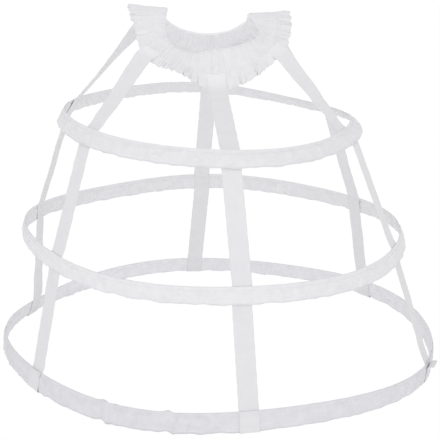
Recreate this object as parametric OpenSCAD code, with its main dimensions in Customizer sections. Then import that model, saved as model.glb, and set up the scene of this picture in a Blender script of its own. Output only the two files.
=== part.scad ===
// Crinoline cage: three boned hoops hung on six tapes from a gathered elastic waistband.
// The front faces -Y, +X is the viewer's right, and the cage stands on its hem hoop.

/* [Hoops] */
// Mean diameter of the hem hoop
hem_d = 646; // [610:1:700]
// Mean diameter of the middle hoop
middle_d = 568; // [540:1:600]
// Mean diameter of the top hoop
top_d = 436; // [410:1:470]
// Height of the middle hoop above the hem hoop
middle_rise = 167; // [140:1:200]
// Height of the top hoop above the middle hoop
top_rise = 171; // [140:1:200]

/* [Hoop casings] */
// Height of the hem hoop's folded casing
hem_casing_h = 29; // [25:0.5:34]
// Height of the middle and top hoops' folded casings
casing_h = 26.5; // [24:0.5:34]
// Thickness of one ply of casing fabric
casing_ply = 0.7; // [0.4:0.1:1]
// Height of the sewn margin that closes the casing along its upper edge
casing_margin = 6; // [4:0.5:7]

/* [Hoop bones] */
// Height of the flat bone
bone_h = 13; // [9:0.5:14]
// Thickness of the bone
bone_t = 1.2; // [0.8:0.1:1.6]
// Length of the sleeve that joins the two ends of a bone
joiner_l = 32; // [20:1:40]
// Wall of the sleeve
joiner_wall = 0.4; // [0.3:0.1:0.6]
// Space left between the two ends of a bone
bone_end_gap = 1; // [0.5:0.1:3]

/* [Tapes] */
// Width of each tape
tape_w = 26.5; // [18:0.5:30]
// Thickness of each tape
tape_t = 1.2; // [0.8:0.1:1.6]
// Length of tape sewn on the waistband's frill
tape_overlap = 22; // [12:1:24]
// Length of tape turned up on the outside of the hem hoop
tape_turn_up = 25; // [12:0.5:28]

/* [Waistband] */
// Height of the waistband's front edge above the hem hoop
waist_rise = 450; // [430:1:480]
// Mean diameter of the waist edge, at the front and back
waist_d = 124; // [112:1:150]
// Width of the band from its upper edge to the frill's edge
band_w = 60; // [54:1:68]
// Depth of the elastic's channel below the upper edge
channel_h = 37; // [34:0.5:40]
// Thickness of one ply of waistband fabric
band_ply = 0.8; // [0.5:0.1:1]
// Number of gathers round the band
gathers = 80; // [60:1:96]
// Depth of the gathers over the elastic
gather_depth = 0.8; // [0.4:0.1:1.2]
// Depth of the frill's ruffles at its edge
frill_depth = 4.5; // [3:0.5:7]
// Width of the elastic
elastic_w = 32; // [25:0.5:32]
// Thickness of the elastic
elastic_t = 1; // [0.6:0.1:1.4]

/* [Fits] */
// Space round a piece that slides inside another
fit_gap = 0.25; // [0.2:0.05:0.4]
// Space on each face of the elastic in its channel
channel_gap = 0.45; // [0.4:0.05:0.8]
// Space between plies that are sewn together
sewn_gap = 0.3; // [0.2:0.05:0.5]

/* [Hidden] */

fabric_white = [0.93, 0.93, 0.95];
tape_white = [0.90, 0.90, 0.93];
elastic_white = [0.85, 0.85, 0.86];
bone_white = [0.82, 0.83, 0.84];
sleeve_steel = [0.70, 0.71, 0.73];

// The hoops by number
HEM = 0;
MIDDLE = 1;
TOP = 2;
hoop_r = [hem_d / 2, middle_d / 2, top_d / 2];
hoop_z = [0, middle_rise, middle_rise + top_rise];
// The upper hoops hang a little to the left
hoop_shift = [0, -6, -13];
// Mean lean of each casing towards the waist, in degrees
hoop_lean = [8, 5, 36];
// Soft bones don't stay true circles. Each wave is [times round, amount, direction from the front].
radius_waves = [[[2, 9.5, 62], [3, 3.5, 40]],
                [[2, 4.5, -75], [3, 4, 9]],
                [[2, 3, 47], [3, 2.7, 9]]];
height_waves = [[[3, 2.5, 34], [4, 4.5, 22]],
                [[1, 10, -97], [2, 3, -75], [3, 2.8, 47], [4, 3.4, 6]],
                [[1, 9.7, -128], [2, 1.4, 55], [3, 2.6, -49], [4, 1.6, 2]]];
lean_waves = [[[1, 4, -117], [2, 9, -17]],
              [[1, 5, 85], [2, 8, 82]],
              [[1, 14, 120]]];
// Direction from the front at which each tape crosses each hoop, going round to the right
tapes = 6;
crossing = [[7.3, 65.5, 127, 188, 249, 305.5],
            [7.6, 70.5, 126, 185, 259, 309],
            [7.8, 67, 122.5, 181, 254.5, 308]];
// How far round each tape slips from above a hoop to below it
slip = [[0, 0, 0, 0, 0, 0],
        [0, 0, 0, 0, 0, -2],
        [0, 1.5, 0, 0, 4, -2.6]];
// Hoops pulled in or tipped by a tape: [hoop, tape, pull inwards, lean]
pulls = [[MIDDLE, 4, 9, 0], [HEM, 4, 0, 20]];
pull_fade = 80;
// How soon each tape twists, once it leaves the waistband, to lie as the top hoop does
twist = [1, 1, 3, 1, 3, 1];
// Stations between two tapes round a hoop
steps = 10;
// Flat run left beside each edge of a tape, on a hoop or the waistband
tape_side = 2;

// The waistband is turned with the tapes, and its sides are lifted and spread like a saddle.
// Each list goes round from the front to the right in equal steps.
waist_turn = 7;
waist_shift = -16;
edge_out = [4, 14, 18, -2, 6, 8, 4, 5, 4, -5, 10, 8];
edge_up = [1, 7, 18, 41, 26, 10, 7, 16, 34, 50, 16, -3];
// Shares of the band's width that go outwards and downwards
hem_out = [0.48, 0.53, 0.70, 1.00, 0.80, 0.62, 0.48, 0.58, 0.83, 0.93, 0.63, 0.53];
hem_fall = [0.87, 0.72, 0.28, -0.03, 0.23, 0.58, 0.85, 0.68, 0.30, -0.08, 0.44, 0.39];
// Direction on the waistband at which each tape is sewn on, from the band's own front
waist_crossing = [2, 53.5, 120, 180, 237, 300.5];

// Half thickness of the space in a casing, which the joiner fills
pocket = bone_t / 2 + fit_gap + joiner_wall + fit_gap;
casing_half = pocket + casing_ply;
casing_top = [hem_casing_h / 2, casing_h / 2, casing_h / 2];
// How far a tape's middle lies from the middle of the casing, and from its edges
tape_side_out = casing_half + sewn_gap + tape_t / 2;
function tape_end_out(h) = casing_top[h] + sewn_gap + tape_t / 2;
// Half thickness of the elastic's channel, and the middle of the band to its outer face
channel = elastic_t / 2 + channel_gap;
band_face = channel + band_ply;
// Length of tape that runs on past the frill's edge before it turns to the hoop
tape_past_hem = 3;
// Station at which each hoop's bone is joined, staggered round the back
joint = [25, 24, 36];
// Pieces of each free run of tape between two hoops
run_steps = 4;

function sum(v, i = 0) = i < len(v) ? v[i] + sum(v, i + 1) : 0;
function unit(v) = v / norm(v);
function mix(a, b, t) = a + (b - a) * t;
function wave(waves, a) = sum([for (w = waves) w[1] * cos(w[0] * (a - w[2]))]);

// Value at angle a of a smooth closed curve through equally spaced values
function round_value(v, a) =
    let (n = len(v), s = a / 360 * n + n, i = floor(s), t = s - i,
         p = v[(i - 1) % n], q = v[i % n], r = v[(i + 1) % n], w = v[(i + 2) % n])
    q + t / 2 * (r - p + t * (2 * p - 5 * q + 4 * r - w + t * (3 * (q - r) + w - p)));

// Half the angle that tape k takes up on hoop h
function tape_angle(h, k) = asin((tape_w / 2 + tape_side) / hoop_r[h]) + abs(slip[h][k]) / 2;

// Pull on hoop h at angle a, which fades on both sides of the tape
function pull_at(h, a, i) =
    sum([for (p = pulls) if (p[0] == h) p[i] * pow(cos((a - crossing[h][p[1]]) / 2), pull_fade)]);

// Lean of hoop h at angle a, kept even under a tape so that the tape lies flat
function lean_at(h, a) =
    let (near = [for (k = [0:tapes - 1])
                    if (cos(a - crossing[h][k]) > cos(tape_angle(h, k)) - 1e-6) crossing[h][k]])
    let (b = len(near) > 0 ? near[0] : a)
    hoop_lean[h] + wave(lean_waves[h], b) + pull_at(h, b, 3);

// A point of hoop h at angle a, p[0] out from its middle and p[1] up along its height
function hoop_point(h, a, p) =
    let (lean = lean_at(h, a),
         r = hoop_r[h] + wave(radius_waves[h], a) - pull_at(h, a, 2) + p[0] * cos(lean) - p[1] * sin(lean),
         z = hoop_z[h] + wave(height_waves[h], a) + p[0] * sin(lean) + p[1] * cos(lean))
    [hoop_shift[h] + r * sin(a), -r * cos(a), z];

// Angles of the stations round hoop h, with one flat run under each tape
function stations(h) =
    [for (k = [0:tapes - 1])
        let (next = (k + 1) % tapes,
             from = crossing[h][k] + tape_angle(h, k),
             to = crossing[h][next] + (next == 0 ? 360 : 0) - tape_angle(h, next))
        for (i = [0:steps - 1]) mix(from, to, i / (steps - 1))];

hoop_stations = [for (h = [HEM, MIDDLE, TOP]) stations(h)];

// Where tape k crosses hoop h, and the direction of the tape's width there
function crossing_end(h, k, p, side) = hoop_point(h, crossing[h][k] + side * tape_angle(h, k), p);
function crossing_point(h, k, p) = mix(crossing_end(h, k, p, -1), crossing_end(h, k, p, 1), 0.5);
function crossing_width(h, k, p) = unit(crossing_end(h, k, p, 1) - crossing_end(h, k, p, -1));

// The middle of the waistband at angle a, v below its upper edge
function band_mid(a, v) =
    let (r = waist_d / 2 + round_value(edge_out, a) + v * round_value(hem_out, a),
         z = waist_rise + round_value(edge_up, a) - v * round_value(hem_fall, a))
    [waist_shift + r * sin(a + waist_turn), -r * cos(a + waist_turn), z];
function band_tangent(a, v) = unit(band_mid(a + 1, v) - band_mid(a - 1, v));
function band_fall(a, v) = unit(band_mid(a, v + 1) - band_mid(a, v - 1));
function band_point(a, v, out) =
    band_mid(a, v) + out * unit(cross(band_fall(a, v), band_tangent(a, v)));

// Outline of a casing: a strip folded at the bottom, its two plies sewn together along the top
function casing_outline(h) =
    let (top = casing_top[h], shoulder = top - casing_margin, fold = casing_ply - top)
    [[casing_ply + fit_gap / 2, top], [casing_half, shoulder],
     [casing_half, -top], [-casing_half, -top],
     [-casing_half, shoulder], [-casing_ply - fit_gap / 2, top],
     [-fit_gap / 2, top], [-pocket, shoulder], [-pocket, fold],
     [pocket, fold], [pocket, shoulder], [fit_gap / 2, top]];

// The bone lies in the middle of the pocket, which the sewn margin narrows from above
function in_pocket(outline) = [for (p = outline) p + [0, (casing_ply - casing_margin) / 2]];
bone_corner = [bone_t, bone_h] / 2;
bone_outline = in_pocket([bone_corner, [bone_corner[0], -bone_corner[1]],
                          -bone_corner, [-bone_corner[0], bone_corner[1]]]);

// The sleeve is folded from sheet, with its slit along the upper edge
sleeve_in = bone_corner + [fit_gap, fit_gap];
sleeve_out = sleeve_in + [joiner_wall, joiner_wall];
joiner_outline =
    in_pocket([[fit_gap / 2, sleeve_out[1]], sleeve_out,
               [sleeve_out[0], -sleeve_out[1]], -sleeve_out,
               [-sleeve_out[0], sleeve_out[1]], [-fit_gap / 2, sleeve_out[1]],
               [-fit_gap / 2, sleeve_in[1]], [-sleeve_in[0], sleeve_in[1]],
               -sleeve_in, [sleeve_in[0], -sleeve_in[1]],
               sleeve_in, [fit_gap / 2, sleeve_in[1]]]);

function hoop_section(h, a, outline) = [for (p = outline) hoop_point(h, a, p)];
function mix_sections(s1, s2, t) = [for (j = [0:len(s1) - 1]) mix(s1[j], s2[j], t)];

// The outline's section at station i, moved along the straight run to the next station by a length
function moved_section(h, i, way, length, outline) =
    let (a = hoop_stations[h], n = len(a),
         s1 = hoop_section(h, a[i], outline),
         s2 = hoop_section(h, a[(i + way + n) % n], outline))
    mix_sections(s1, s2, length / norm(s2[0] - s1[0]));

// Faces of a skin over n sections of m points, closed in a ring or capped at its ends
// Both sides of a wall are split the same way, so that it keeps its thickness where it twists
function skin_faces(n, m, closed) =
    [for (i = [0:(closed ? n : n - 1) - 1], j = [0:m - 1])
        let (a = i * m + j, b = i * m + (j + 1) % m,
             c = (i + 1) % n * m + (j + 1) % m, d = (i + 1) % n * m + j)
        each j < m / 2 ? [[a, c, b], [a, d, c]] : [[a, d, b], [b, d, c]]];
// An outline goes along one side and back along the other, so its ends are closed by strips between the two
function cap_faces(n, m) =
    [for (j = [0:m / 2 - 2])
        let (a = j, b = j + 1, c = m - 2 - j, d = m - 1 - j, e = (n - 1) * m)
        each [[a, b, c], [a, c, d], [e + c, e + b, e + a], [e + d, e + c, e + a]]];

module skin(sections, closed) {
    n = len(sections);
    m = len(sections[0]);
    polyhedron(points = [for (s = sections) each s],
               faces = concat(skin_faces(n, m, closed), closed ? [] : cap_faces(n, m)));
}

// Corners of the tapes' turned-up ends, round the outside of the hem hoop
wrap_out = tape_side_out + tape_t / 2;
wrap_low = -tape_end_out(HEM) - tape_t / 2;
wrap_high = tape_turn_up - tape_end_out(HEM);
function wrap_corners(k) =
    [for (p = [[-wrap_out, wrap_low], [wrap_out, wrap_low], [wrap_out, wrap_high]])
        for (side = [-1, 1])
            crossing_point(HEM, k, p) + side * tape_w / 2 * crossing_width(HEM, k, p)];

// The part stands with its lowest point on the ground and the outline of its foot centred
foot = concat([for (a = hoop_stations[HEM]) each hoop_section(HEM, a, casing_outline(HEM))],
              [for (k = [0:tapes - 1]) each wrap_corners(k)]);
function middle_of(v) = (min(v) + max(v)) / 2;
ground = [middle_of([for (p = foot) p[0]]), middle_of([for (p = foot) p[1]]),
          min([for (p = foot) p[2]])];

module casing(h) {
    color(fabric_white) translate(-ground)
        skin([for (a = hoop_stations[h]) hoop_section(h, a, casing_outline(h))], true);
}

module bone(h) {
    n = len(hoop_stations[h]);
    color(bone_white) translate(-ground)
        skin([moved_section(h, joint[h], 1, bone_end_gap / 2, bone_outline),
              for (i = [1:n - 1]) hoop_section(h, hoop_stations[h][(joint[h] + i) % n], bone_outline),
              moved_section(h, joint[h], -1, bone_end_gap / 2, bone_outline)], false);
}

module joiner(h) {
    color(sleeve_steel) translate(-ground)
        skin([moved_section(h, joint[h], -1, joiner_l / 2, joiner_outline),
              hoop_section(h, hoop_stations[h][joint[h]], joiner_outline),
              moved_section(h, joint[h], 1, joiner_l / 2, joiner_outline)], false);
}

// Height of the gathers' crests over the middle of the band, v below its upper edge
function crest_at(v) =
    band_face + (v <= channel_h ? gather_depth
                                : mix(gather_depth, frill_depth / 2, (v - channel_h) / (band_w - channel_h)));

// A tape's stop on the gathers' crests, lifted clear of the band's curve under its whole width
function waist_stop(a, v, crest) =
    let (middle = band_point(a, v, crest),
         out = unit(middle - band_mid(a, v)),
         half_angle = (tape_w / 2 + tape_side) / norm(band_mid(a + 1, v) - band_mid(a, v)),
         bulge = [for (s = [-half_angle:half_angle / 8:half_angle])
                     (band_point(a + s, v, crest) - middle) * out])
    [middle + (max(bulge) + sewn_gap + tape_t / 2) * out, band_tangent(a, v)];

// A tape's way from the waistband to the hem: [point, direction of its width]
function tape_way(k) =
    let (a = waist_crossing[k],
         start = band_w - tape_overlap,
         half = band_w - tape_overlap / 2,
         leave = waist_stop(a, band_w + tape_past_hem, crest_at(band_w)))
    [waist_stop(a, start, crest_at(start)),
     waist_stop(a, half, crest_at(half)),
     each tape_run(leave, inner_stop(TOP, k, 1), twist[k]),
     each tape_run(inner_stop(TOP, k, -1), inner_stop(MIDDLE, k, 1), 1),
     each tape_run(inner_stop(MIDDLE, k, -1), inner_stop(HEM, k, 1), 1),
     inner_stop(HEM, k, -1),
     tape_stop(HEM, k, [tape_side_out, -tape_end_out(HEM)]),
     tape_stop(HEM, k, [tape_side_out, tape_turn_up - tape_end_out(HEM)])];

// Stops on hoop h: anywhere round the casing, or on its inner face above (1) or below (-1) it
function tape_stop(h, k, p) = [crossing_point(h, k, p), crossing_width(h, k, p)];
function inner_stop(h, k, side) =
    let (stop = tape_stop(h, k, [-tape_side_out, side * tape_end_out(h)]),
         along = -side * hoop_r[h] * tan(slip[h][k] / 2))
    [stop[0] + along * stop[1], stop[1]];
// The free stretch between two stops, with its ends
function tape_run(from, to, twist) =
    [for (i = [0:run_steps])
        let (t = i / run_steps)
        [mix(from[0], to[0], t), unit(mix(from[1], to[1], 1 - pow(1 - t, twist)))]];

// Direction of the tape's thickness at stop i of its way, lengthened at bends
function tape_normal(way, i) =
    let (n = len(way),
         before = unit(way[max(i, 1)][0] - way[max(i, 1) - 1][0]),
         after = unit(way[min(i + 1, n - 1)][0] - way[min(i, n - 2)][0]),
         n1 = unit(cross(way[i][1], before)),
         n2 = unit(cross(way[i][1], after)))
    (n1 + n2) / (1 + n1 * n2);

module tape(k) {
    way = tape_way(k);
    color(tape_white) translate(-ground)
        skin([for (i = [0:len(way) - 1])
                let (w = way[i][1] * tape_w / 2, t = tape_normal(way, i) * tape_t / 2, p = way[i][0])
                [p + w + t, p + w - t, p - w - t, p - w + t]], false);
}

// A column of the waistband's section at angle a; crest is 1 on a gather's crest and 0 in its valley
function band_section(a, crest) =
    let (ripple = crest * gather_depth,
         ruffle = (crest - 0.5) * frill_depth,
         mid_v = mix(channel_h, band_w, 0.5))
    [band_point(a, band_w, channel + ruffle),
     band_point(a, mid_v, channel + ruffle / 2),
     band_point(a, channel_h, channel + ripple),
     band_point(a, band_ply, channel + ripple),
     band_point(a, band_ply, -channel - ripple),
     band_point(a, channel_h, -channel - ripple),
     band_point(a, channel_h, -band_face - ripple),
     band_point(a, 0, -band_face - ripple),
     band_point(a, 0, band_face + ripple),
     band_point(a, channel_h, band_face + ripple),
     band_point(a, mid_v, band_face + ruffle / 2),
     band_point(a, band_w, band_face + ruffle)];

module waistband() {
    color(fabric_white) translate(-ground)
        skin([for (i = [0:2 * gathers - 1]) band_section(i * 180 / gathers, i % 2)], true);
}

module waist_elastic() {
    top_v = band_ply + (channel_h - band_ply - elastic_w) / 2;
    color(elastic_white) translate(-ground)
        skin([for (i = [0:gathers - 1])
                let (a = i * 360 / gathers, t = elastic_t / 2)
                [band_point(a, top_v, t), band_point(a, top_v + elastic_w, t),
                 band_point(a, top_v + elastic_w, -t), band_point(a, top_v, -t)]], true);
}

module tape_front() { tape(0); }
module tape_front_right() { tape(1); }
module tape_back_right() { tape(2); }
module tape_back() { tape(3); }
module tape_back_left() { tape(4); }
module tape_front_left() { tape(5); }
module casing_hem() { casing(HEM); }
module casing_middle() { casing(MIDDLE); }
module casing_top() { casing(TOP); }
module bone_hem() { bone(HEM); }
module bone_middle() { bone(MIDDLE); }
module bone_top() { bone(TOP); }
module joiner_hem() { joiner(HEM); }
module joiner_middle() { joiner(MIDDLE); }
module joiner_top() { joiner(TOP); }

waistband();
waist_elastic();
tape_front();
tape_front_right();
tape_back_right();
tape_back();
tape_back_left();
tape_front_left();
casing_hem();
casing_middle();
casing_top();
bone_hem();
bone_middle();
bone_top();
joiner_hem();
joiner_middle();
joiner_top();
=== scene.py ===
"""Crinoline cage: three boned hoops in cotton casings, hung on six twill tapes from a gathered waistband."""
import bpy
import numpy as np
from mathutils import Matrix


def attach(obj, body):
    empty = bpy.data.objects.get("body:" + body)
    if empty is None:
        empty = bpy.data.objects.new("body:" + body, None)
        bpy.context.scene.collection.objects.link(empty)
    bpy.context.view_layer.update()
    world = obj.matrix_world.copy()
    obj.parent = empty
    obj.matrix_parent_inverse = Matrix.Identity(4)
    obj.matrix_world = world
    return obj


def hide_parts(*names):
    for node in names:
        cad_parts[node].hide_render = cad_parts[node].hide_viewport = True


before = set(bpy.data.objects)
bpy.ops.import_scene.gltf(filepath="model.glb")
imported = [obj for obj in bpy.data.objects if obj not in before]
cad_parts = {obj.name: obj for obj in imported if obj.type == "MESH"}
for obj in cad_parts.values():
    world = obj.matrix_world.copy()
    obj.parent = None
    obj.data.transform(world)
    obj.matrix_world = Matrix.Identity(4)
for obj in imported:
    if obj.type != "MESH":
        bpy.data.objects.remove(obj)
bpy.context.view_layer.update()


# Bones and joiners: each hoop is a flat strip of white plastic boning, bent round until its ends
# meet in a sleeve folded from thin sheet steel. Both stay as the solids have them.
class Shade:
    """A shader socket that can be added, multiplied and so on as a number can."""
    def __init__(self, finish, socket):
        self.finish = finish
        self.socket = socket

    def maths(self, operation, first, second=0.0):
        return self.finish.node("ShaderNodeMath", {"operation": operation}, {0: first, 1: second})

    def __add__(self, other):
        return self.maths("ADD", self, other)

    def __radd__(self, other):
        return self.maths("ADD", other, self)

    def __sub__(self, other):
        return self.maths("SUBTRACT", self, other)

    def __rsub__(self, other):
        return self.maths("SUBTRACT", other, self)

    def __mul__(self, other):
        return self.maths("MULTIPLY", self, other)

    def __rmul__(self, other):
        return self.maths("MULTIPLY", other, self)

    def __abs__(self):
        return self.maths("ABSOLUTE", self)

    def sine(self):
        return self.maths("SINE", self)

    def over(self, level):
        return self.maths("GREATER_THAN", self, level)

    def larger(self, other):
        return self.maths("MAXIMUM", self, other)

    def clipped(self):
        return self.maths("MINIMUM", self.larger(0.0), 1.0)


class Finish:
    """A material whose constants stand on its shader, and whose changing values come from nodes."""
    def __init__(self, name, **constants):
        self.material = bpy.data.materials.new(name)
        self.material.use_nodes = True
        self.tree = self.material.node_tree
        self.shader = self.tree.nodes["Principled BSDF"]
        for socket, value in constants.items():
            self.shader.inputs[socket.replace("_", " ")].default_value = value

    def put(self, socket, value):
        if isinstance(value, Shade):
            self.tree.links.new(value.socket, socket)
        else:
            socket.default_value = value

    def node(self, kind, settings, sockets, out=0):
        made = self.tree.nodes.new(kind)
        for name, value in settings.items():
            setattr(made, name, value)
        for name, value in sockets.items():
            self.put(made.inputs[name], value)
        return Shade(self, made.outputs[out])

    def place(self):
        return self.node("ShaderNodeTexCoord", {}, {}, out="Object")

    def mixed(self, factor, first, second):
        return self.node("ShaderNodeMix", {"data_type": "RGBA"},
                         {0: factor, 6: (*first, 1), 7: (*second, 1)}, out=2)

    def noise(self, place, scale, detail=2.0):
        return self.node("ShaderNodeTexNoise", {}, {"Vector": place, "Scale": scale, "Detail": detail})

    def stretched(self, place, scale):
        return self.node("ShaderNodeVectorMath", {"operation": "MULTIPLY"}, {0: place, 1: scale})

    def finished(self, colour, roughness, relief, strength, distance):
        bump = self.node("ShaderNodeBump", {},
                         {"Height": relief, "Strength": strength, "Distance": distance})
        for socket, value in (("Base Color", colour), ("Roughness", roughness), ("Normal", bump)):
            self.put(self.shader.inputs[socket], value)
        return self.material


def boning_finish():
    """Drawn plastic: a little cloudy, with faint lines along its length."""
    finish = Finish("bone_plastic", Specular_IOR_Level=0.4)
    clouds = finish.noise(finish.place(), 60)
    drawn = finish.noise(finish.stretched(finish.place(), (30, 30, 900)), 1)
    colour = finish.mixed(clouds, (0.66, 0.67, 0.68), (0.74, 0.75, 0.76))
    return finish.finished(colour, 0.36 + 0.18 * clouds, drawn, strength=0.2, distance=0.0002)


def sleeve_finish():
    """Rolled steel: fine grain along the sheet, duller in places."""
    finish = Finish("joiner_steel", Metallic=1.0)
    grain = finish.noise(finish.stretched(finish.place(), (90, 90, 2600)), 1, 3)
    dulling_and_edge_shade = finish.noise(finish.place(), 140)
    colour = finish.mixed(dulling_and_edge_shade, (0.50, 0.51, 0.53), (0.66, 0.67, 0.68))
    return finish.finished(colour, 0.26 + 0.25 * grain, grain, strength=0.25, distance=0.0001)


boning = boning_finish()
sleeve = sleeve_finish()
for hoop_name in ("hem", "middle", "top"):
    for node_name, finish in (("bone_" + hoop_name, boning), ("joiner_" + hoop_name, sleeve)):
        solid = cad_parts[node_name].data
        solid.materials.clear()
        solid.materials.append(finish)


# Casings: each bone lies in a strip of plain white cotton, folded at the bottom, with its two raw
# edges turned and stitched together along the top. The strip is a little long for its hoop,
# so it puckers at the seam and creases slantwise along both faces.
MM = 0.001
HEM, MIDDLE, TOP = range(3)
FRONT_RIGHT, BACK_LEFT = 1, 4
all_tapes = range(6)
packed_origin = np.array([-3.749, 1.319, -21.373])
hoop_radius = (323, 284, 218)
hoop_height = (0, 167, 338)
hoop_shift = (0, -6, -13)
hoop_lean = (8, 5, 36)
radius_waves = (((2, 9.5, 62), (3, 3.5, 40)), ((2, 4.5, -75), (3, 4, 9)), ((2, 3, 47), (3, 2.7, 9)))
height_waves = (((3, 2.5, 34), (4, 4.5, 22)),
                ((1, 10, -97), (2, 3, -75), (3, 2.8, 47), (4, 3.4, 6)),
                ((1, 9.7, -128), (2, 1.4, 55), (3, 2.6, -49), (4, 1.6, 2)))
lean_waves = (((1, 4, -117), (2, 9, -17)), ((1, 5, 85), (2, 8, 82)), ((1, 14, 120),))
crossing = ((7.3, 65.5, 127, 188, 249, 305.5),
            (7.6, 70.5, 126, 185, 259, 309),
            (7.8, 67, 122.5, 181, 254.5, 308))
tape_slip = ((0, 0, 0, 0, 0, 0), (0, 0, 0, 0, 0, -2), (0, 1.5, 0, 0, 4, -2.6))
pull_sharpness = 80
hem_tipped = 20
middle_drawn_in = 9
lean_ease = 6
tape_half = 13.25
tape_room = 2
casing_half_height = (14.5, 13.25, 13.25)
casing_ply = 0.7
joint_place = ((2, 5), (2, 4), (3, 6))
joint_parts = 9
joint_reach = 24
fold_points = 41
fold_bottom = 20
seam_in = 5.2
tape_hold = 12
crease_spacing, crease_depth, bulge_depth = 1.3, 1.15, 0.16
pucker_depth, pucker_in, pucker_width = 0.42, 7, 5
dent_over_bone, dent_over_joiner, highest_crease = 0.55, 0.12, 1.5
edge_pressed, edge_width = 0.85, 3.5
dent_by_tape, crease_by_tape, crease_beside_tape = 0.4, 0.12, 1.4
groove_depth, groove_width = 0.3, 1.3
hem_kinks = ((349, 0.35), (332, -0.3))
kink_height, kink_off, kink_front, kink_back = 2.3, 2, 1.5, 5
step_height, step_run, step_reach, step_lowest = 3.2, 6, 9, 0.3
bottom_hitch, edge_hitch, most_hitch = 0.9, 0.35, 2.4


def waved(waves, angle):
    return sum(amount * np.cos(np.radians(times * (angle - way))) for times, amount, way in waves)


def turned_from(angle, at):
    return (angle - at + 180) % 360 - 180


def arc_length(hoop, degrees):
    radians_in_degree = 0.0175
    return degrees * hoop_radius[hoop] * radians_in_degree


def hump(distance, width):
    """1 in the middle, falling smoothly to nearly 0 at twice the width."""
    return np.exp(-(distance / width) ** 2)


def tape_angle(hoop, tape):
    half = np.degrees(np.arcsin((tape_half + tape_room) / hoop_radius[hoop]))
    return half + abs(tape_slip[hoop][tape]) / 2


def from_tape(hoop, angle, tape):
    return turned_from(angle, crossing[hoop][tape])


def past_tape(hoop, angle, tape):
    """Degrees past the edge of a tape, less than 0 where the tape covers the hoop."""
    return abs(from_tape(hoop, angle, tape)) - tape_angle(hoop, tape)


def pulled(hoop, angle, tape):
    return np.cos(np.radians(from_tape(hoop, angle, tape)) / 2) ** pull_sharpness


def free_lean(hoop, angle):
    tipped = hem_tipped * pulled(hoop, angle, BACK_LEFT) if hoop == HEM else 0
    return hoop_lean[hoop] + waved(lean_waves[hoop], angle) + tipped


def lean_of(hoop, angle):
    """Lean in radians, held even under each tape and eased into the free casing beside it."""
    lean = free_lean(hoop, angle)
    for tape in all_tapes:
        beside = np.clip(past_tape(hoop, angle, tape) / lean_ease, 0, 1)
        held = 1 - beside * beside * (3 - 2 * beside)
        lean = lean + held * (free_lean(hoop, np.full_like(angle, crossing[hoop][tape])) - lean)
    return np.radians(lean)


def hoop_place(hoop, angle, out, up):
    """Points of a hoop, out from the bone's middle and up along the casing's height, in mm."""
    lean = lean_of(hoop, angle)
    drawn_in = middle_drawn_in * pulled(hoop, angle, BACK_LEFT) if hoop == MIDDLE else 0
    radius = hoop_radius[hoop] + waved(radius_waves[hoop], angle) - drawn_in
    radius = radius + out * np.cos(lean) - up * np.sin(lean)
    height = hoop_height[hoop] + waved(height_waves[hoop], angle)
    height = height + out * np.sin(lean) + up * np.cos(lean)
    turn = np.radians(angle)
    place = np.stack([hoop_shift[hoop] + radius * np.sin(turn), -radius * np.cos(turn), height], -1)
    return place - packed_origin


def casing_place(hoop, angle, out, up):
    """The same, with the hoop straight across each tape that is sewn to it."""
    start, end, along = angle.copy(), angle.copy(), np.zeros_like(angle)
    for tape in all_tapes:
        half = tape_angle(hoop, tape)
        away = from_tape(hoop, angle, tape)
        under = abs(away) < half
        start = np.where(under, crossing[hoop][tape] - half, start)
        end = np.where(under, crossing[hoop][tape] + half, end)
        along = np.where(under, (away / half + 1) / 2, along)
    first = hoop_place(hoop, start, out, up)
    second = hoop_place(hoop, end, out, up)
    return first + along[..., None] * (second - first)


def from_joint(hoop, angle):
    """Distance in mm from the sleeve that joins the hoop's bone."""
    tape, part = joint_place[hoop]
    first = crossing[hoop][tape] + tape_angle(hoop, tape)
    last = crossing[hoop][tape + 1] - tape_angle(hoop, tape + 1)
    return arc_length(hoop, abs(turned_from(angle, first + (last - first) * part / joint_parts)))


def run_along(points):
    return np.r_[0, np.cumsum(np.linalg.norm(np.diff(points, axis=0), axis=1))]


def spread(places, run, points):
    """Points at given places along a line."""
    return np.stack([np.interp(places, run, column) for column in points.T], -1)


def smoothed(points, count, fine_count=400, passes=60):
    """Points spread evenly along a line, with its corners rounded."""
    points = np.asarray(points, float)
    run = run_along(points)
    line = spread(np.linspace(0, run[-1], fine_count), run, points)
    for _ in range(passes):
        line[1:-1] = (line[:-2] + 2 * line[1:-1] + line[2:]) / 4
    run = run_along(line)
    even = np.linspace(0, run[-1], count)
    return spread(even, run, line), even


def creased(along, across, length, spacing, deep, seed, reach=34):
    """Heights in mm of short slanting creases, dents and ridges, worked at random into a strip."""
    chance = np.random.default_rng(seed)
    relief = np.zeros((len(along), len(across)))
    for _ in range(int(length / spacing)):
        middle = chance.uniform(0, length)
        side = chance.uniform(across[0], across[-1])
        long = chance.uniform(5, 15)
        wide = chance.uniform(1.2, 3.4)
        lengthwise = chance.random() < 0.3
        slant = chance.uniform(-0.35, 0.35) if lengthwise else chance.uniform(0.75, 2.4)
        depth = chance.uniform(0.3, 1) * deep * chance.choice((-1, 1))
        off = (along - middle + length / 2) % length - length / 2
        near = np.nonzero(abs(off) < reach)[0]
        du, dv = off[near, None], across[None, :] - side
        down = du * np.cos(slant) + dv * np.sin(slant)
        aside = dv * np.cos(slant) - du * np.sin(slant)
        relief[near] += depth * np.exp(-(down / long) ** 2 - (aside / wide) ** 2)
    return relief


def wandering(along, length, shortest, longest, count, seed):
    """A line that wanders about 0, mostly between -1 and 1, and closes after its length."""
    chance = np.random.default_rng(seed)
    total = np.zeros_like(along)
    for _ in range(count):
        times = round(length / chance.uniform(shortest, longest))
        total += np.cos(2 * np.pi * (times * along / length + chance.random()))
    return total / np.sqrt(count * 2)


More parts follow.
